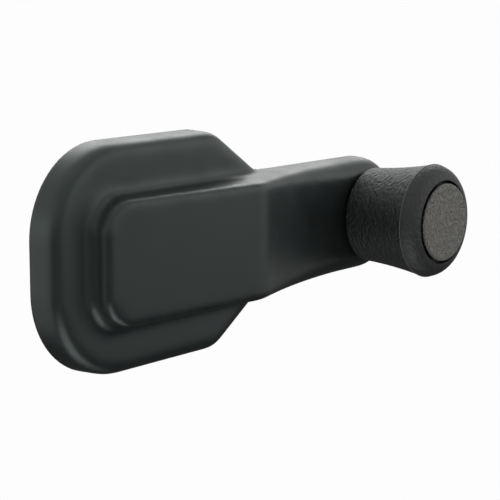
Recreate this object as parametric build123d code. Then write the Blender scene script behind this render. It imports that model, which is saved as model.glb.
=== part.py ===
from build123d import *
import math
import os

os.makedirs("parts", exist_ok=True)

# Window crank handle for a car door, in millimetres.
# The spindle axis is Y and the door lies at y = 0. X runs along the arm to the knob and Z is up.
# "out" is the distance from the door towards the passenger, so y = -out.

# Whole handle
crank_radius = 80.0          # spindle axis to knob axis
wall = 2.6                   # soft cover wall
draft = 3.0                  # degrees, on the side walls of the bar

# Base pad of the cover
pad_left = 29.8              # spindle axis to the rounded end
pad_height = 51.2
pad_draft = 1.5              # degrees, on its side wall
pad_thickness = 7.7
pad_corner_radius = 20.2
pad_edge_radius = 2.8
pad_shoulder = 22.8          # spindle axis to where the top edge turns down towards the arm
pad_shoulder_angle = 33.4
pad_shoulder_radius = 9.0
pad_neck_radius = 12.0
pad_neck_overlap = 0.6       # how far the neck runs into the side of the bar
pad_end_radius = 1.8         # corners of the rim where it closes behind the arm

# Raised bar: the boss over the hub and the arm, one moulding with the pad
bar_half_height = 14.5       # at the back edge
bar_back_out = 2.2
boss_left = 19.7             # spindle axis to the end of the boss, at the back edge
boss_corner_radius = 5.0
boss_edge_radius = 1.3
boss_face_out = 14.36        # at the spindle axis
boss_face_rise = 0.085       # rise of the face per millimetre along the arm
boss_cove_radius = 2.0
crease_x = 29.2
crease_ease = 2.0            # the crease is rounded this far to each side
landing_x = 70.0             # the arm is level from here to its end
landing_out = 10.5
arm_edge_radius = 5.4        # front edges of the arm at the knob
arm_edge_full_x = 70.0       # where that radius is reached
crease_steps = 4
arm_steps = 6

# Lips behind the casting that hold the cover on
lip_reach = 1.3
lip_thickness = 1.5
lip_clearance = 0.2

# Die-cast arm inside the cover
core_clearance = 0.3
core_wall = 2.4
core_edge_radius = 1.0
hub_radius = 10.0
rib_thickness = 2.2
cross_ribs = 3

# Serrated socket for the regulator spindle
pilot_radius = 5.25
pilot_length = 1.8
serration_major = 5.05
serration_minor = 4.6
serration_count = 36
serration_depth = 6.3
screw_hole_radius = 3.2
screw_web = 2.2
screw_head_radius = 7.5

# Knob spindle and its washers
journal_radius = 4.0
shank_radius = 3.0
shank_fit = 0.02
rivet_head_radius = 4.6
rivet_head_height = 1.3
knob_boss_radius = 8.2
knob_boss_clearance = 0.4    # to the hole in the cover
knob_boss_step = 0.4         # boss top below the landing
running_clearance = 0.05     # radial, knob on spindle
axial_play = 0.1
washer_thickness = 0.8
washer_bore_clearance = 0.15
thrust_washer_radius = 6.9
retaining_washer_radius = 7.2
clip_thickness = 0.8
clip_radius = 5.8
clip_gap = 3.4
groove_radius = 3.2
groove_clearance = 0.05
spindle_tail = 0.9           # spindle beyond the clip groove
spindle_chamfer = 0.4

# Knob
knob_base_radius = 11.9
knob_waist_radius = 12.6     # half way along the side
knob_radius = 14.0           # at the parting line
knob_side_length = 17.8      # base to parting line
knob_rim_width = 3.6         # parting line to the edge of the cap recess
knob_rim_height = 3.8
knob_rim_radius = 4.2
knob_base_edge = 0.6
parting_bead = 0.14
knob_hub_radius = 7.2
knob_core_radius = 9.3
knob_core_depth = 12.0
knob_ribs = 6
knob_rib_thickness = 1.6
clip_room = 3.5              # cap seat to the floor under the retaining washer

# Cap in the end of the knob
cap_recess_depth = 2.0
cap_gap = 0.55
cap_proud = 0.8
cap_edge_radius = 0.7
cap_crown = 0.2
cap_skirt_radius = 8.6
cap_skirt_wall = 1.1
cap_skirt_length = 1.7
cap_skirt_clearance = 0.05
cap_plate = 1.6

# Places worked out from the sizes above
slope = math.tan(math.radians(draft))
boss_top_out = landing_out - knob_boss_step
knob_base_out = boss_top_out + washer_thickness + axial_play
parting_out = knob_base_out + knob_side_length
knob_end_out = parting_out + knob_rim_height
cap_recess_radius = knob_radius - knob_rim_width
cap_seat_out = knob_end_out - cap_recess_depth
washer_seat_out = cap_seat_out - clip_room
clip_out = washer_seat_out + axial_play + washer_thickness
core_inset = wall + core_clearance
core_back_out = bar_back_out + lip_thickness + lip_clearance
crease_out = boss_face_out + boss_face_rise * crease_x
arm_run = landing_x - crease_x
arm_drop = crease_out - landing_out
arm_arc_radius = (arm_run**2 + arm_drop**2) / (2 * arm_drop)
arm_start_slope = -arm_run / (arm_arc_radius - arm_drop)
pad_turn = math.radians(pad_shoulder_angle)
neck_z = bar_half_height + bar_back_out * slope - pad_neck_overlap
neck_x = pad_shoulder + (pad_height / 2 - neck_z) / math.tan(pad_turn)
pad_end_x = neck_x + pad_neck_radius * math.tan(pad_turn / 2) + 2 * pad_end_radius

plan = Plane.XZ
profile = Plane(origin=(0, 0, 0), x_dir=(1, 0, 0), z_dir=(0, 0, -1))
knob_axis = Axis((crank_radius, 0, 0), (0, -1, 0))
reach = crank_radius + 2 * bar_half_height
tall = pad_height


def across(x):
    """Plane square to the arm at x, with Z as its first axis and out as its second."""
    return Plane(origin=(x, 0, 0), x_dir=(0, 0, 1), z_dir=(1, 0, 0))


def boss_face(x):
    return boss_face_out + boss_face_rise * x


def arm_face(x):
    """Front of the arm: a hollow arc from the crease, then the level landing."""
    if x >= landing_x:
        return landing_out
    return landing_out + arm_arc_radius - math.sqrt(arm_arc_radius**2 - (landing_x - x) ** 2)


def eased_crease(x):
    """Front across the crease, a parabola between the two slopes."""
    past = x - (crease_x - crease_ease)
    bend = (boss_face_rise - arm_start_slope) / (4 * crease_ease)
    return boss_face(x) - bend * past**2


def edge_radius(x):
    start = crease_x - crease_ease
    share = (x - start) / (arm_edge_full_x - start)
    share = min(max(share, 0.0), 1.0)
    return boss_edge_radius + share * (arm_edge_radius - boss_edge_radius)


def half_height(out):
    return bar_half_height - (out - bar_back_out) * slope


def round_corners(outline, x, radius):
    """Round the corners of a plan outline that lie at x."""
    return fillet(outline.vertices().filter_by(lambda v: abs(v.X - x) < 0.01), radius)


def pad_outline():
    half = pad_height / 2
    upper = [(-pad_left, half), (pad_shoulder, half), (neck_x, neck_z), (pad_end_x, neck_z)]
    lower = [(x, -z) for x, z in reversed(upper)]
    outline = make_face(Polyline(*upper, *lower, close=True))
    outline = round_corners(outline, -pad_left, pad_corner_radius)
    outline = round_corners(outline, pad_shoulder, pad_shoulder_radius)
    outline = round_corners(outline, neck_x, pad_neck_radius)
    return round_corners(outline, pad_end_x, pad_end_radius)


def pad_block():
    block = extrude(plan * pad_outline(), pad_thickness, taper=pad_draft)
    rim = block.faces().sort_by(Axis.Y)[0].edges()
    return fillet(rim, pad_edge_radius)


def pad_hollow():
    outline = offset(pad_outline(), -wall, kind=Kind.INTERSECTION)
    return extrude(plan * outline, pad_thickness - wall, taper=pad_draft)


def bar_outline(inset, left_radius):
    """Plan of the bar: square boss end at the left, half round about the knob axis at the right."""
    half = bar_half_height - inset
    left = -boss_left + inset
    corners = [(left, -half), (crank_radius, -half), (crank_radius, half), (left, half)]
    body = round_corners(make_face(Polyline(*corners, close=True)), left, left_radius)
    return body + Pos(crank_radius, 0) * Circle(half)


def front_region(inset, back_out):
    """Side profile of the bar below its front, lowered by inset."""
    far_left = -boss_left * 2
    middle = (crease_x + landing_x) / 2
    low = Line((far_left, back_out), (far_left, boss_face(far_left) - inset))
    face = Line(low @ 1, (crease_x, crease_out - inset))
    hollow = ThreePointArc(face @ 1, (middle, arm_face(middle) - inset), (landing_x, landing_out - inset))
    landing = Line(hollow @ 1, (reach, landing_out - inset))
    end = Line(landing @ 1, (reach, back_out))
    return make_face([low, face, hollow, landing, end, Line(end @ 1, low @ 0)])


def plain_bar(inset, back_out):
    """The bar with square edges, shrunk by inset all round and starting at back_out."""
    left_radius = max(boss_corner_radius - inset, core_edge_radius + crease_out * slope)
    column = extrude(plan.offset(back_out) * bar_outline(inset, left_radius), crease_out, taper=draft)
    slab = extrude(profile * front_region(inset, back_out), tall, both=True)
    return column & slab


def bar_section(x, face_out):
    half = half_height(face_out)
    back = [(-bar_half_height, bar_back_out), (bar_half_height, bar_back_out)]
    outline = make_face(Polyline(*back, (half, face_out), (-half, face_out), close=True))
    front = outline.vertices().sort_by(Axis.Y)[-2:]
    return across(x) * fillet(front, edge_radius(x))


def boss_region():
    """Side profile below the boss face, carried on past the crease."""
    far_left = -boss_left * 2
    return make_face(Polyline(
        (far_left, bar_back_out), (far_left, boss_face(far_left)),
        (landing_x, boss_face(landing_x)), (landing_x, bar_back_out), close=True))


def bar_block():
    """Boss, crease, arm and rounded end, with front edges that grow softer towards the knob."""
    start = crease_x - crease_ease
    finish = crease_x + crease_ease
    outline = plan.offset(bar_back_out) * bar_outline(0.0, boss_corner_radius)
    column = extrude(outline, boss_face(landing_x), taper=draft)
    boss = column & extrude(profile * boss_region(), tall, both=True)
    boss = fillet(boss.faces().sort_by(Axis.Y)[0].edges(), boss_edge_radius)
    boss = split(boss, across(start), keep=Keep.BOTTOM)
    boss_end = boss.faces().sort_by(Axis.X)[-1]

    step = (finish - start) / crease_steps
    places = [start + step * (i + 1) for i in range(crease_steps)]
    crease_sections = [bar_section(x, eased_crease(x)) for x in places]
    crease = loft([boss_end, *crease_sections])

    step = (landing_x - finish) / arm_steps
    places = [finish + step * (i + 1) for i in range(arm_steps)]
    arm_sections = [bar_section(x, arm_face(x)) for x in places]
    arm = loft([crease_sections[-1], *arm_sections])

    landing = extrude(arm_sections[-1], crank_radius - landing_x)
    upper_half = across(crank_radius) * Pos(tall / 2, 0) * Rectangle(tall, 2 * tall)
    tip = revolve(bar_section(crank_radius, landing_out) & upper_half, knob_axis, -180)
    return boss + crease + arm + landing + tip


def soft_cover():
    """Hollow moulding: pad, boss and arm in one skin, open at the back."""
    cover = pad_block() + bar_block()
    level = cover.faces().filter_by(Axis.Y)
    pad_face = level.filter_by(lambda f: abs(f.center().Y + pad_thickness) < 0.01)[0]
    inner = pad_face.edges().filter_by(lambda e: abs(e.center().Z) < bar_half_height)
    foot = inner.filter_by(lambda e: e.center().X > -boss_left)
    cover = fillet(foot, boss_cove_radius)
    cover -= pad_hollow()  # the rim closes behind the arm, under the casting
    cover -= plain_bar(wall, bar_back_out + lip_thickness)
    mouth = plain_bar(wall + lip_reach, bar_back_out)
    cover -= split(mouth, across(pad_end_x), keep=Keep.TOP)
    return cover - knob_cylinder(knob_boss_radius + knob_boss_clearance, 0.0, tall)


def knob_cylinder(radius, start_out, end_out):
    circle = Pos(crank_radius, 0) * Circle(radius)
    return extrude(plan.offset(start_out) * circle, end_out - start_out)


def hub_cylinder(radius, start_out, end_out):
    return extrude(plan.offset(start_out) * Circle(radius), end_out - start_out)


def serration():
    """Star-shaped prism that cuts the teeth of the socket."""
    points = []
    for i in range(2 * serration_count):
        radius = serration_major if i % 2 else serration_minor
        turn = math.pi * i / serration_count
        points.append((radius * math.cos(turn), radius * math.sin(turn)))
    return extrude(plan * make_face(Polyline(*points, close=True)), serration_depth)


def crank_arm():
    """Casting: an open-backed channel with a ribbed web, the hub and the boss for the knob spindle."""
    block = plain_bar(core_inset, core_back_out)
    block = fillet(block.faces().sort_by(Axis.Y)[0].edges(), core_edge_radius)
    channel = plain_bar(core_inset + core_wall, core_back_out)
    ribs = plan * Pos(crank_radius / 2, 0) * Rectangle(crank_radius, rib_thickness)
    spacing = (crank_radius - hub_radius - knob_boss_radius) / (cross_ribs + 1)
    for i in range(cross_ribs):
        place = hub_radius + spacing * (i + 1)
        ribs += plan * Pos(place, 0) * Rectangle(rib_thickness, 2 * bar_half_height)
    ribs += plan * Circle(hub_radius)
    ribs += plan * Pos(crank_radius, 0) * Circle(knob_boss_radius)
    arm = block - (channel - extrude(ribs, tall))
    arm += hub_cylinder(hub_radius, 0.0, core_back_out)
    arm += knob_cylinder(knob_boss_radius, core_back_out, boss_top_out)
    arm -= hub_cylinder(pilot_radius, 0.0, pilot_length)
    arm -= serration()
    arm -= hub_cylinder(screw_hole_radius, 0.0, tall)
    arm -= hub_cylinder(screw_head_radius, serration_depth + screw_web, tall)
    return arm - knob_cylinder(shank_radius + shank_fit, 0.0, tall)


def turned(points):
    """Solid of revolution about the knob axis, from (radius, out) points."""
    return revolve(across(crank_radius) * make_face(Polyline(*points, close=True)), knob_axis)


def crown_arc(radius, out, rise):
    """Shallow dome line from (radius, out) to the knob axis, with its centre on that axis."""
    ball = (radius**2 + rise**2) / (2 * abs(rise))
    part = math.asin(radius / ball) / 2
    sag = ball * (1 - math.cos(part))
    top = out + rise
    middle = (ball * math.sin(part), top - math.copysign(sag, rise))
    return ThreePointArc((radius, out), middle, (0, top))


def ring(inner, outer, start_out, thickness):
    end_out = start_out + thickness
    return turned([(inner, start_out), (outer, start_out), (outer, end_out), (inner, end_out)])


def knob_spindle():
    """Shouldered pin, riveted over behind the casting and grooved for the clip."""
    groove_end = clip_out + clip_thickness + groove_clearance
    tip_out = groove_end + spindle_tail
    shank = [(0, core_back_out), (shank_radius, core_back_out), (shank_radius, boss_top_out)]
    journal = [(journal_radius, boss_top_out), (journal_radius, clip_out)]
    groove = [(groove_radius, clip_out), (groove_radius, groove_end), (journal_radius, groove_end)]
    tip_radius = journal_radius - spindle_chamfer
    tip = [(journal_radius, tip_out - spindle_chamfer), (tip_radius, tip_out), (0, tip_out)]
    dome = crown_arc(rivet_head_radius, core_back_out, -rivet_head_height)
    closing = Polyline(dome @ 1, (0, core_back_out), dome @ 0)
    head = revolve(across(crank_radius) * make_face([dome, closing]), knob_axis)
    return turned([*shank, *journal, *groove, *tip]) + head


def thrust_washer():
    bore = journal_radius + washer_bore_clearance
    return ring(bore, thrust_washer_radius, boss_top_out, washer_thickness)


def retaining_washer():
    bore = journal_radius + washer_bore_clearance
    return ring(bore, retaining_washer_radius, washer_seat_out + axial_play, washer_thickness)


def retaining_clip():
    """Open ring sprung into the groove of the spindle."""
    full = ring(groove_radius + groove_clearance, clip_radius, clip_out, clip_thickness)
    gap = plan * Pos(crank_radius, clip_radius) * Rectangle(clip_gap, 2 * clip_radius)
    return full - extrude(gap, tall)


def knob_body():
    """Moulded grip: hollow-sided, with a rounded rim, cored out from the arm side between ribs."""
    bore = journal_radius + running_clearance
    middle = knob_base_out + knob_side_length / 2
    foot = Line((bore, knob_base_out), (knob_base_radius - knob_base_edge, knob_base_out))
    heel = RadiusArc(foot @ 1, (knob_base_radius, knob_base_out + knob_base_edge), -knob_base_edge)
    side = ThreePointArc(heel @ 1, (knob_waist_radius, middle), (knob_radius, parting_out - parting_bead))
    bead_top = (knob_radius + parting_bead, parting_out)
    bead = ThreePointArc(side @ 1, bead_top, (knob_radius, parting_out + parting_bead))
    rim = RadiusArc(bead @ 1, (cap_recess_radius, knob_end_out), -knob_rim_radius)
    inside = Polyline(
        rim @ 1, (cap_recess_radius, cap_seat_out), (cap_skirt_radius, cap_seat_out),
        (cap_skirt_radius, washer_seat_out), (bore, washer_seat_out), foot @ 0)
    knob = revolve(across(crank_radius) * make_face([foot, heel, side, bead, rim, inside]), knob_axis)
    core = Circle(knob_core_radius) - Circle(knob_hub_radius)
    rib = Pos(knob_core_radius / 2, 0) * Rectangle(knob_core_radius, knob_rib_thickness)
    for i in range(knob_ribs):
        core -= Rot(0, 0, i * 360 / knob_ribs) * rib
    return knob - extrude(plan.offset(knob_base_out) * Pos(crank_radius, 0) * core, knob_core_depth)


def knob_cap():
    """Disc that closes the end of the knob, pressed in by a short skirt."""
    top = knob_end_out + cap_proud
    disc = cap_recess_radius - cap_gap
    skirt = cap_skirt_radius - cap_skirt_clearance
    inner = skirt - cap_skirt_wall
    skirt_end = cap_seat_out - cap_skirt_length
    under = Polyline(
        (0, top - cap_plate), (inner, top - cap_plate), (inner, skirt_end), (skirt, skirt_end),
        (skirt, cap_seat_out), (disc, cap_seat_out), (disc, top - cap_edge_radius))
    edge = RadiusArc(under @ 1, (disc - cap_edge_radius, top), -cap_edge_radius)
    face = crown_arc(disc - cap_edge_radius, top, cap_crown)
    outline = make_face([under, edge, face, Line(face @ 1, under @ 0)])
    return revolve(across(crank_radius) * outline, knob_axis)


pieces = {
    "soft_cover": soft_cover,
    "crank_arm": crank_arm,
    "knob_spindle": knob_spindle,
    "thrust_washer": thrust_washer,
    "knob_body": knob_body,
    "retaining_washer": retaining_washer,
    "retaining_clip": retaining_clip,
    "knob_cap": knob_cap,
}
for name, make in pieces.items():
    solid = make()
    export_step(solid, f"parts/{name}.step")
    print(name, solid.is_valid, round(solid.volume, 1))
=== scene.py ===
import math

import bpy
import bmesh
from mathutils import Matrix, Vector


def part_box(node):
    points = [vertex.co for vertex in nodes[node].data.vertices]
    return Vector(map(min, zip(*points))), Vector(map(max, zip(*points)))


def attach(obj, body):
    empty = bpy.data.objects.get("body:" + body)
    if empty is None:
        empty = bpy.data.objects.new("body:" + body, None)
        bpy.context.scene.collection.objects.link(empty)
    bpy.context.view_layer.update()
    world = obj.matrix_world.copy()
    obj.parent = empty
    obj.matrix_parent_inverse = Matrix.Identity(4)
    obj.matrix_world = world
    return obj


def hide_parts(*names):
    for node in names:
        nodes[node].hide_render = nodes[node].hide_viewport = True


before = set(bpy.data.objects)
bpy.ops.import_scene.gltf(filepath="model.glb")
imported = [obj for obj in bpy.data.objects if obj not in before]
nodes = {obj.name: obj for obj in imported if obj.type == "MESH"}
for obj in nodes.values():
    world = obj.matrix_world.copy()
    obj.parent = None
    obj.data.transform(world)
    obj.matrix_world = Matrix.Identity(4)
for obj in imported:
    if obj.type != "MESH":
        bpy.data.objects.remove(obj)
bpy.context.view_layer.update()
millimetre = 0.001              # m
mergeGap = 0.001                # mm, doubles of a spun shape closer than this are merged
knobAxisX = sum(corner.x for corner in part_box("knob_body")) / 2 / millimetre
print("frame loaded:", ", ".join(sorted(nodes)))
print("knob turns at", round(knobAxisX, 3), "mm along the arm")


def hexColour(code):
    # sRGB hex to the linear values that Blender's sockets take
    parts = [int(code[i:i + 2], 16) / 255 for i in (1, 3, 5)]
    linear = [part / 12.92 if part <= 0.04045 else ((part + 0.055) / 1.055) ** 2.4 for part in parts]
    return (*linear, 1.0)


def addNode(tree, kind, inputs=None, **settings):
    # adds one node: settings are its own properties, inputs are values or sockets to link from
    node = tree.nodes.new(kind)
    for name, value in settings.items():
        setattr(node, name, value)
    for name, value in (inputs or {}).items():
        if isinstance(value, bpy.types.NodeSocket):
            tree.links.new(value, node.inputs[name])
        else:
            node.inputs[name].default_value = value
    return node


def newMaterial(name):
    material = bpy.data.materials.new(name)
    material.use_nodes = True
    material.node_tree.nodes.clear()
    return material, material.node_tree


def perMillimetre(size):
    # texture scale that gives one feature every size millimetres, on Object coordinates in metres
    return 1 / (size * millimetre)


def leatherCreases(tree, place, grain):
    # thin creases that wander over the surface; a cell of the ridged noise holds two of them
    wander = addNode(tree, "ShaderNodeTexNoise", {
        "Vector": place, "Scale": perMillimetre(grain["wanderSize"]), "Detail": 1.5})
    centred = addNode(tree, "ShaderNodeVectorMath", {0: wander.outputs["Color"], 1: (0.5, 0.5, 0.5)},
                      operation="SUBTRACT")
    shift = addNode(tree, "ShaderNodeVectorMath", {
        0: centred.outputs["Vector"], "Scale": 2 * grain["wanderReach"] * millimetre}, operation="SCALE")
    wandering = addNode(tree, "ShaderNodeVectorMath", {0: place, 1: shift.outputs["Vector"]}, operation="ADD")
    stretched = addNode(tree, "ShaderNodeMapping", {
        "Vector": wandering.outputs["Vector"], "Scale": grain["stretch"]})
    creases = addNode(tree, "ShaderNodeTexNoise", {
        "Vector": stretched.outputs["Vector"], "Scale": perMillimetre(2 * grain["creaseSpacing"]),
        "Detail": 1.0, "Roughness": 0.5, "Lacunarity": 2.0, "Offset": 1.0, "Gain": 1.0},
        noise_type="RIDGED_MULTIFRACTAL", normalize=True)
    return creases.outputs["Fac"]


def spinOutline(outline, axis, turns):
    # turns a line of points once round an axis through the origin
    mesh = bmesh.new()
    points = [mesh.verts.new(point) for point in outline]
    edges = [mesh.edges.new(pair) for pair in zip(points, points[1:])]
    bmesh.ops.spin(mesh, geom=points + edges, cent=(0, 0, 0), axis=axis, angle=2 * math.pi, steps=turns,
                   use_merge=True)
    bmesh.ops.remove_doubles(mesh, verts=mesh.verts[:], dist=mergeGap * millimetre)
    bmesh.ops.recalc_face_normals(mesh, faces=mesh.faces[:])
    return mesh


def linkPiece(name, mesh, material):
    # a bmesh becomes an object at the origin, shaded smooth
    data = bpy.data.meshes.new(name)
    mesh.to_mesh(data)
    mesh.free()
    data.shade_smooth()
    data.materials.append(material)
    piece = bpy.data.objects.new(name, data)
    bpy.context.scene.collection.objects.link(piece)
    return piece


# Soft PVC, slush moulded over the casting: almost black in itself, so what the eye sees is a broad satin
# reflection of the room, broken by a very fine mould grain.
softPvc = {
    "colour": "#0b0e0e",
    "sheen": "#ecfffb",         # greenish cast of the reflection
    "ior": 1.5,
    "grainSize": 0.35,          # mm between the grains of the mould's finish
    "grainHeight": 0.012,       # mm
    "patchSize": 9.0,           # mm, patches polished by hands
    "patchRange": (0.35, 0.65), # share of the noise that the patches spread over
    "patchRoughness": (0.4, 0.47),
}
softPvcMaterial, tree = newMaterial("soft_pvc_slush_moulded")
place = addNode(tree, "ShaderNodeTexCoord").outputs["Object"]
grain = addNode(tree, "ShaderNodeTexNoise", {
    "Vector": place, "Scale": perMillimetre(softPvc["grainSize"]), "Detail": 2.0, "Roughness": 0.6})
patches = addNode(tree, "ShaderNodeTexNoise", {
    "Vector": place, "Scale": perMillimetre(softPvc["patchSize"]), "Detail": 3.0, "Roughness": 0.55})
polish = addNode(tree, "ShaderNodeMapRange", {
    "Value": patches.outputs["Fac"],
    "From Min": softPvc["patchRange"][0], "From Max": softPvc["patchRange"][1],
    "To Min": softPvc["patchRoughness"][0], "To Max": softPvc["patchRoughness"][1]})
grainBump = addNode(tree, "ShaderNodeBump", {
    "Height": grain.outputs["Fac"], "Strength": 1.0, "Distance": softPvc["grainHeight"] * millimetre})
surface = addNode(tree, "ShaderNodeBsdfPrincipled", {
    "Base Color": hexColour(softPvc["colour"]), "IOR": softPvc["ior"],
    "Specular Tint": hexColour(softPvc["sheen"]),
    "Roughness": polish.outputs["Result"], "Normal": grainBump.outputs["Normal"]})
addNode(tree, "ShaderNodeOutputMaterial", {"Surface": surface.outputs["BSDF"]})


# ABS, injection moulded in a tool etched with a leather grain: thin creases that wander, branch and fade out,
# strong on the side of the knob and fainter on its rim. They are drawn deeper than a real grain, to show.
knobAbs = {
    "colour": "#0a0a0a",
    "sheen": "#f7fcfd",         # cool cast of the reflection
    "roughness": 0.6,
    "ior": 1.53,
    "creaseSpacing": 0.8,       # mm
    "creaseDepth": 0.155,       # mm
    "stretch": (0.8, 1.5, 0.8), # creases run more round the knob than along it
    "wanderSize": 4.0,          # mm over which a crease changes its course
    "wanderReach": 1.5,         # mm
    "breakSize": 1.6,           # mm between the places where creases fade
    "breakRange": (0.35, 0.6),  # share of the noise that the fading spreads over
    "breakShare": 0.5,          # depth left where a crease has faded
    "partingOut": 28.8,         # mm from the door to the parting line
    "partingBlend": 0.1,        # mm to each side of it, where the rim's grain starts
    "rimShare": 0.6,            # depth left on the rim
    "seamColour": "#403e39",    # flash rubbed pale along the parting line
    "seamWidth": 0.28,          # mm
}
knobAbsMaterial, tree = newMaterial("abs_leather_grain_moulded")
place = addNode(tree, "ShaderNodeTexCoord").outputs["Object"]
creases = leatherCreases(tree, place, knobAbs)
breaks = addNode(tree, "ShaderNodeTexNoise", {
    "Vector": place, "Scale": perMillimetre(knobAbs["breakSize"]), "Detail": 1.0})
kept = addNode(tree, "ShaderNodeMapRange", {
    "Value": breaks.outputs["Fac"],
    "From Min": knobAbs["breakRange"][0], "From Max": knobAbs["breakRange"][1],
    "To Min": knobAbs["breakShare"], "To Max": 1.0})
broken = addNode(tree, "ShaderNodeMath", {0: creases, 1: kept.outputs["Result"]}, operation="MULTIPLY")
alongKnob = addNode(tree, "ShaderNodeSeparateXYZ", {"Vector": place}).outputs["Y"]
onSide = addNode(tree, "ShaderNodeMapRange", {
    "Value": alongKnob,
    "From Min": -(knobAbs["partingOut"] + knobAbs["partingBlend"]) * millimetre,
    "From Max": -(knobAbs["partingOut"] - knobAbs["partingBlend"]) * millimetre,
    "To Min": knobAbs["rimShare"], "To Max": 1.0})
depth = addNode(tree, "ShaderNodeMath", {0: broken.outputs["Value"], 1: onSide.outputs["Result"]},
                operation="MULTIPLY")
creaseBump = addNode(tree, "ShaderNodeBump", {
    "Height": depth.outputs["Value"], "Strength": 1.0, "Distance": knobAbs["creaseDepth"] * millimetre},
    invert=True)
onSeam = addNode(tree, "ShaderNodeMath", {
    0: alongKnob, 1: -knobAbs["partingOut"] * millimetre, 2: knobAbs["seamWidth"] / 2 * millimetre},
    operation="COMPARE")
tone = addNode(tree, "ShaderNodeMix", {
    "Factor": onSeam.outputs["Value"], "A": hexColour(knobAbs["colour"]),
    "B": hexColour(knobAbs["seamColour"])}, data_type="RGBA")
surface = addNode(tree, "ShaderNodeBsdfPrincipled", {
    "Base Color": tone.outputs["Result"], "IOR": knobAbs["ior"],
    "Specular Tint": hexColour(knobAbs["sheen"]),
    "Roughness": knobAbs["roughness"], "Normal": creaseBump.outputs["Normal"]})
addNode(tree, "ShaderNodeOutputMaterial", {"Surface": surface.outputs["BSDF"]})


# The cap is ABS too, greyer and from a tool with a finer leather grain, whose creases are also drawn deeper.
capAbs = {
    "colour": "#585753",
    "roughness": 0.6,
    "ior": 1.53,
    "creaseSpacing": 0.62,      # mm
    "creaseDepth": 0.4,         # mm
    "stretch": (1.3, 1.0, 0.7), # creases run upright
    "wanderSize": 2.2,          # mm
    "wanderReach": 0.9,         # mm
}
capAbsMaterial, tree = newMaterial("abs_fine_leather_grain_moulded")
place = addNode(tree, "ShaderNodeTexCoord").outputs["Object"]
creaseBump = addNode(tree, "ShaderNodeBump", {
    "Height": leatherCreases(tree, place, capAbs), "Strength": 1.0,
    "Distance": capAbs["creaseDepth"] * millimetre}, invert=True)
surface = addNode(tree, "ShaderNodeBsdfPrincipled", {
    "Base Color": hexColour(capAbs["colour"]), "IOR": capAbs["ior"],
    "Roughness": capAbs["roughness"], "Normal": creaseBump.outputs["Normal"]})
addNode(tree, "ShaderNodeOutputMaterial", {"Surface": surface.outputs["BSDF"]})


# Zinc alloy, pressure die cast and left as it came out: dull grey with a cold-flow mottle.
zinc = {
    "colour": "#8f9193", "darker": "#77797b",
    "roughness": (0.6, 0.42),   # of the darker and the paler flow
    "mottleSize": 3.5,          # mm
    "mottleRange": (0.3, 0.7),  # share of the noise that the mottle spreads over
    "castSize": 0.5,            # mm between the marks of the cast surface
    "castHeight": 0.02,         # mm
}
zincMaterial, tree = newMaterial("zinc_alloy_die_cast")
place = addNode(tree, "ShaderNodeTexCoord").outputs["Object"]
mottle = addNode(tree, "ShaderNodeTexNoise", {
    "Vector": place, "Scale": perMillimetre(zinc["mottleSize"]), "Detail": 5.0, "Roughness": 0.6})
tone = addNode(tree, "ShaderNodeMix", {
    "Factor": mottle.outputs["Fac"], "A": hexColour(zinc["darker"]), "B": hexColour(zinc["colour"])},
    data_type="RGBA")
dull = addNode(tree, "ShaderNodeMapRange", {
    "Value": mottle.outputs["Fac"],
    "From Min": zinc["mottleRange"][0], "From Max": zinc["mottleRange"][1],
    "To Min": zinc["roughness"][0], "To Max": zinc["roughness"][1]})
castMarks = addNode(tree, "ShaderNodeTexNoise", {
    "Vector": place, "Scale": perMillimetre(zinc["castSize"]), "Detail": 2.0})
castBump = addNode(tree, "ShaderNodeBump", {
    "Height": castMarks.outputs["Fac"], "Strength": 1.0, "Distance": zinc["castHeight"] * millimetre})
surface = addNode(tree, "ShaderNodeBsdfPrincipled", {
    "Base Color": tone.outputs["Result"], "Metallic": 1.0,
    "Roughness": dull.outputs["Result"], "Normal": castBump.outputs["Normal"]})
addNode(tree, "ShaderNodeOutputMaterial", {"Surface": surface.outputs["BSDF"]})


# Steel, turned or stamped and zinc plated: bright, with faint tool rings about the knob's axis.
steel = {
    "colour": "#c3c4c2", "warmer": "#b9b6ac",
    "roughness": 0.26,
    "cloudSize": 4.0,           # mm
    "ringSpacing": 0.25,        # mm
    "ringHeight": 0.004,        # mm
}
wavePeriod = 2 * math.pi / 20   # of Blender's wave pattern at a scale of 1
steelMaterial, tree = newMaterial("steel_zinc_plated")
place = addNode(tree, "ShaderNodeTexCoord").outputs["Object"]
about = addNode(tree, "ShaderNodeMapping", {"Vector": place, "Location": (-knobAxisX * millimetre, 0, 0)})
rings = addNode(tree, "ShaderNodeTexWave", {
    "Vector": about.outputs["Vector"], "Scale": perMillimetre(steel["ringSpacing"]) * wavePeriod,
    "Distortion": 0.4, "Detail": 1.0}, wave_type="RINGS", rings_direction="Y")
cloud = addNode(tree, "ShaderNodeTexNoise", {
    "Vector": place, "Scale": perMillimetre(steel["cloudSize"]), "Detail": 3.0})
tone = addNode(tree, "ShaderNodeMix", {
    "Factor": cloud.outputs["Fac"], "A": hexColour(steel["warmer"]), "B": hexColour(steel["colour"])},
    data_type="RGBA")
ringBump = addNode(tree, "ShaderNodeBump", {
    "Height": rings.outputs["Fac"], "Strength": 1.0, "Distance": steel["ringHeight"] * millimetre})
surface = addNode(tree, "ShaderNodeBsdfPrincipled", {
    "Base Color": tone.outputs["Result"], "Metallic": 1.0,
    "Roughness": steel["roughness"], "Normal": ringBump.outputs["Normal"]})
addNode(tree, "ShaderNodeOutputMaterial", {"Surface": surface.outputs["BSDF"]})


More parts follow.
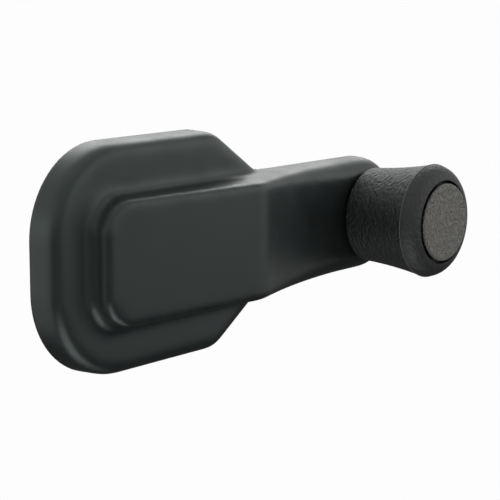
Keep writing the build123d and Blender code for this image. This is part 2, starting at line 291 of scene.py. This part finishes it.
# Nylon, stamped from sheet: black and waxy, with a soft sheen.
nylon = {
    "colour": "#1a1a1b",
    "roughness": 0.45,
    "ior": 1.53,
    "grainSize": 0.4,           # mm
    "grainHeight": 0.01,        # mm
}
nylonMaterial, tree = newMaterial("nylon_stamped")
place = addNode(tree, "ShaderNodeTexCoord").outputs["Object"]
grain = addNode(tree, "ShaderNodeTexNoise", {
    "Vector": place, "Scale": perMillimetre(nylon["grainSize"]), "Detail": 2.0})
grainBump = addNode(tree, "ShaderNodeBump", {
    "Height": grain.outputs["Fac"], "Strength": 1.0, "Distance": nylon["grainHeight"] * millimetre})
surface = addNode(tree, "ShaderNodeBsdfPrincipled", {
    "Base Color": hexColour(nylon["colour"]), "IOR": nylon["ior"],
    "Roughness": nylon["roughness"], "Normal": grainBump.outputs["Normal"]})
addNode(tree, "ShaderNodeOutputMaterial", {"Surface": surface.outputs["BSDF"]})
print("materials made")


# The cover's skin: the moulding's own shape, remeshed evenly and eased as soft PVC comes out of its mould
coverSkin = {
    "weld": 0.002,              # mm, doubles closer than this are merged
    "depth": 8, "fill": 0.95,   # octree of the remesh, about 0.5 mm a cell
    "easing": 16,               # smoothing passes
    "easingShare": 0.5,         # of the way to its neighbours that a point moves in a pass
    "easingFrom": 1.2,          # mm out of the door, so that the back edge stays crisp
    "bossLeft": 19.7, "bossHalf": 14.5,     # mm, walls of the boss at its back edge
    "bossBack": 2.2, "bossLean": 3.0,       # mm out to that edge, degrees of draft
    "bossCorner": 5.0, "softCorner": 8.0,   # mm, corner radius of the solid and of the skin
    "faceOut": 14.36, "faceRise": 0.085,    # mm out on the spindle axis, and the rise along the arm
    "padOut": 7.7,              # mm, face of the pad
    "footReach": 0.6,           # mm below the pad's face, where the drawing in starts
    "edgeReach": 1.6,           # mm, width of the rounded edge between wall and face
    "edgeHold": 1.3,            # mm of that edge that moves as far as the wall does
    "fade": 4.0,                # mm over which the softer corner fades into the pad and the face
}
coverData = nodes["soft_cover"].data.copy()
coverMesh = bmesh.new()
coverMesh.from_mesh(coverData)
bmesh.ops.remove_doubles(coverMesh, verts=coverMesh.verts[:], dist=coverSkin["weld"] * millimetre)
coverMesh.to_mesh(coverData)
coverMesh.free()
blank = bpy.data.objects.new("cover_blank", coverData)
bpy.context.scene.collection.objects.link(blank)
even = blank.modifiers.new("even", "REMESH")
even.mode = "SHARP"
even.octree_depth = coverSkin["depth"]
even.scale = coverSkin["fill"]
even.use_remove_disconnected = False
evenData = bpy.data.meshes.new_from_object(blank.evaluated_get(bpy.context.evaluated_depsgraph_get()))
coverMesh = bmesh.new()
coverMesh.from_mesh(evenData)
bpy.data.objects.remove(blank)
bpy.data.meshes.remove(coverData)
bpy.data.meshes.remove(evenData)
eased = [vertex for vertex in coverMesh.verts if vertex.co.y < -coverSkin["easingFrom"] * millimetre]
for i in range(coverSkin["easing"]):
    bmesh.ops.smooth_vert(coverMesh, verts=eased, factor=coverSkin["easingShare"],
                          use_axis_x=True, use_axis_y=True, use_axis_z=True)

# the two corners of the boss are drawn in to the softer radius, and the pad's face follows them
lean = math.tan(math.radians(coverSkin["bossLean"]))
centreX = coverSkin["softCorner"] - coverSkin["bossLeft"]
centreZ = coverSkin["bossHalf"] - coverSkin["softCorner"]
apart = coverSkin["softCorner"] - coverSkin["bossCorner"]   # between the two centres, along X and along Z


def wallFrom(along, across, sharp, soft):
    # mm from the softer corner's centre to the solid's wall, in one direction
    if soft * across / along < apart:
        return soft / along         # the end wall
    if soft * along / across < apart:
        return soft / across        # the upper or lower wall
    toCentre = apart * (along + across)
    return toCentre + math.sqrt(max(sharp ** 2 - 2 * apart ** 2 + toCentre ** 2, 0.0))


def drawnShare(past, x, out):
    # share of the wall's own move for a point that lies past the wall, or within it where past is negative
    if past >= 0:
        share = 1 - min(past / coverSkin["fade"], 1.0)
    elif out > coverSkin["faceOut"] + coverSkin["faceRise"] * x - coverSkin["edgeReach"]:
        share = 1 - min(max(-past - coverSkin["edgeHold"], 0.0) / coverSkin["fade"], 1.0)
    else:
        share = 1.0 if past > -coverSkin["edgeReach"] else 0.0
    foot = min((out - coverSkin["padOut"] + coverSkin["footReach"]) / coverSkin["footReach"], 1.0)
    return share * share * (3 - 2 * share) * foot


for vertex in eased:
    x, out, z = vertex.co.x / millimetre, -vertex.co.y / millimetre, vertex.co.z / millimetre
    along = centreX - x
    across = abs(z) - centreZ
    if along <= 0 or across <= 0 or out < coverSkin["padOut"] - coverSkin["footReach"]:
        continue
    length = math.hypot(along, across)
    along, across = along / length, across / length
    draft = (out - coverSkin["bossBack"]) * lean
    soft, sharp = coverSkin["softCorner"] - draft, coverSkin["bossCorner"] - draft
    wall = wallFrom(along, across, sharp, soft)
    step = (soft - wall) * drawnShare(length - wall, x, out) * millimetre
    vertex.co.x -= along * step
    vertex.co.z += across * step if z > 0 else -across * step
cover = linkPiece("cover_skin", coverMesh, softPvcMaterial)
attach(cover, "handle")
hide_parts("soft_cover")
print("cover skin made:", len(cover.data.polygons), "faces")


# Cap of the knob: one turned disc with a soft edge and a slight crown, loose in the recess all round
capDisc = {
    "radius": 9.6,              # mm
    "edge": 0.5,                # mm, radius of the edge
    "edgeSteps": 8,
    "crown": 0.2,               # mm
    "lip": 0.25, "neck": 8.7,   # mm, straight edge of the disc and radius of the neck under it
    "seatDepth": 2.0,           # mm from the knob's end to the foot of the neck
    "rings": 24,
    "turns": 128,
}
topOut = -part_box("knob_cap")[0].y / millimetre - capDisc["crown"]
seatOut = -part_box("knob_body")[0].y / millimetre - capDisc["seatDepth"]
lipOut = topOut - capDisc["edge"] - capDisc["lip"]
flat = capDisc["radius"] - capDisc["edge"]
capOutline = [(0.0, seatOut), (capDisc["neck"], seatOut),
              (capDisc["neck"], lipOut), (capDisc["radius"], lipOut)]
for i in range(capDisc["edgeSteps"] + 1):
    angle = math.pi / 2 * i / capDisc["edgeSteps"]
    capOutline.append((flat + capDisc["edge"] * math.cos(angle),
                       topOut - capDisc["edge"] * (1 - math.sin(angle))))
for i in range(1, capDisc["rings"] + 1):
    share = 1 - i / capDisc["rings"]
    capOutline.append((flat * share, topOut + capDisc["crown"] * (1 - share ** 2)))
capMesh = spinOutline([(radius * millimetre, -out * millimetre, 0) for radius, out in capOutline],
                      (0, 1, 0), capDisc["turns"])
bmesh.ops.translate(capMesh, verts=capMesh.verts[:], vec=(knobAxisX * millimetre, 0, 0))
cap = linkPiece("cap_disc", capMesh, capAbsMaterial)
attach(cap, "knob")
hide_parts("knob_cap")
print("cap made")

finishes = {
    "crank_arm": zincMaterial,
    "knob_spindle": steelMaterial,
    "thrust_washer": nylonMaterial,
    "knob_body": knobAbsMaterial,
    "retaining_washer": steelMaterial,
    "retaining_clip": steelMaterial,
}
for name, material in finishes.items():
    nodes[name].data.materials.clear()
    nodes[name].data.materials.append(material)
print("finishes set")


# Pale sweep that only the camera sees: a round floor that curves up into a wall on all sides
sweep = {
    "drop": 0.10,               # m below the spindle axis
    "reach": 1.6,               # m from the handle to the foot of the curve
    "curve": 0.5, "wall": 1.5,  # m
    "curveSteps": 24, "turns": 96,
    "colour": "#fdfdfd",
    "glow": 1.0,                # evenly lit paper
}
paper, tree = newMaterial("paper_matte_white")
glow = addNode(tree, "ShaderNodeEmission", {
    "Color": hexColour(sweep["colour"]), "Strength": sweep["glow"]})
addNode(tree, "ShaderNodeOutputMaterial", {"Surface": glow.outputs["Emission"]})
floor = -sweep["drop"]
sweepOutline = [(0.0, 0.0, floor)]
for i in range(sweep["curveSteps"] + 1):
    angle = math.pi / 2 * i / sweep["curveSteps"]
    sweepOutline.append((sweep["reach"] + sweep["curve"] * math.sin(angle), 0.0,
                         floor + sweep["curve"] * (1 - math.cos(angle))))
sweepOutline.append((sweep["reach"] + sweep["curve"], 0.0, floor + sweep["curve"] + sweep["wall"]))
sweepObject = linkPiece("paper_sweep", spinOutline(sweepOutline, (0, 0, 1), sweep["turns"]), paper)
sweepObject.visible_diffuse = False     # the room lights the handle, and the paper only backs it
sweepObject.visible_glossy = False
sweepObject.visible_shadow = False
print("sweep made")


# The camera stands where the photograph was taken from
view = {
    "azimuth": -51.198, "elevation": 9.683,         # degrees
    "target": (30.0567, -11.2, -2.6618),            # mm
    "distance": 396.952,                            # mm
    "focalPixels": 1703.257, "pictureWidth": 500,   # pixels
    "sensor": 36.0,                                 # mm
    "nearest": 10.0,                                # mm
}
turned = math.radians(view["azimuth"])
raised = math.radians(view["elevation"])
back = Vector((math.sin(turned) * math.cos(raised), -math.cos(turned) * math.cos(raised), math.sin(raised)))
middle = Vector(view["target"]) * millimetre
cameraData = bpy.data.cameras.new("camera")
cameraData.sensor_width = view["sensor"]
cameraData.lens = view["focalPixels"] * view["sensor"] / view["pictureWidth"]
cameraData.clip_start = view["nearest"] * millimetre
camera = bpy.data.objects.new("camera", cameraData)
bpy.context.scene.collection.objects.link(camera)
camera.location = middle + back * view["distance"] * millimetre
camera.rotation_euler = back.to_track_quat("Z", "Y").to_euler()
bpy.context.scene.camera = camera
print("camera set")

# Soft studio light: a pale room, brighter above the handle than below it, and softboxes
studio = {
    "colour": "#ffffff",
    "above": 0.95, "below": 0.06,
    "towards": (0.09, 0.11, 0.95),  # the room brightens upwards and a little away from the camera
    "horizon": (-0.32, 0.14),       # and does so between these heights of a ray
    "boxes": {                      # places and sizes in m, power in W
        "overhead_softbox": {"place": (0.0, -0.15, 1.0), "size": (0.8, 0.8), "power": 0.6},
        "front_softbox": {"place": (0.6, -0.87, 0.15), "size": (1.4, 0.8), "power": 2.7},
        "left_softbox": {"place": (-0.9, 0.55, -0.3), "size": (1.2, 1.4), "power": 4.6},
        "back_softbox": {"place": (0.9, 0.75, 0.75), "size": (1.2, 0.6), "power": 8.0},
        "low_card": {"place": (-0.1, -0.16, -0.32), "size": (0.34, 0.34), "power": 0.95},
    },
}
world = bpy.data.worlds.new("pale_room")
world.use_nodes = True
tree = world.node_tree
tree.nodes.clear()
ray = addNode(tree, "ShaderNodeTexCoord").outputs["Generated"]
heights = addNode(tree, "ShaderNodeVectorMath", {0: ray, 1: studio["towards"]}, operation="DOT_PRODUCT")
strength = addNode(tree, "ShaderNodeMapRange", {
    "Value": heights.outputs["Value"],
    "From Min": studio["horizon"][0], "From Max": studio["horizon"][1],
    "To Min": studio["below"], "To Max": studio["above"]}, interpolation_type="SMOOTHSTEP")
room = addNode(tree, "ShaderNodeBackground", {
    "Color": hexColour(studio["colour"]), "Strength": strength.outputs["Result"]})
addNode(tree, "ShaderNodeOutputWorld", {"Surface": room.outputs["Background"]})
bpy.context.scene.world = world
for name, box in studio["boxes"].items():
    lamp = bpy.data.lights.new(name, "AREA")
    lamp.shape = "RECTANGLE"
    lamp.size, lamp.size_y = box["size"]
    lamp.energy = box["power"]
    lampObject = bpy.data.objects.new(name, lamp)
    bpy.context.scene.collection.objects.link(lampObject)
    lampObject.location = box["place"]
    lampObject.visible_camera = False
    lampObject.rotation_euler = (middle - lampObject.location).to_track_quat("-Z", "Y").to_euler()
bpy.context.scene.view_settings.view_transform = "Standard"
print("light set")
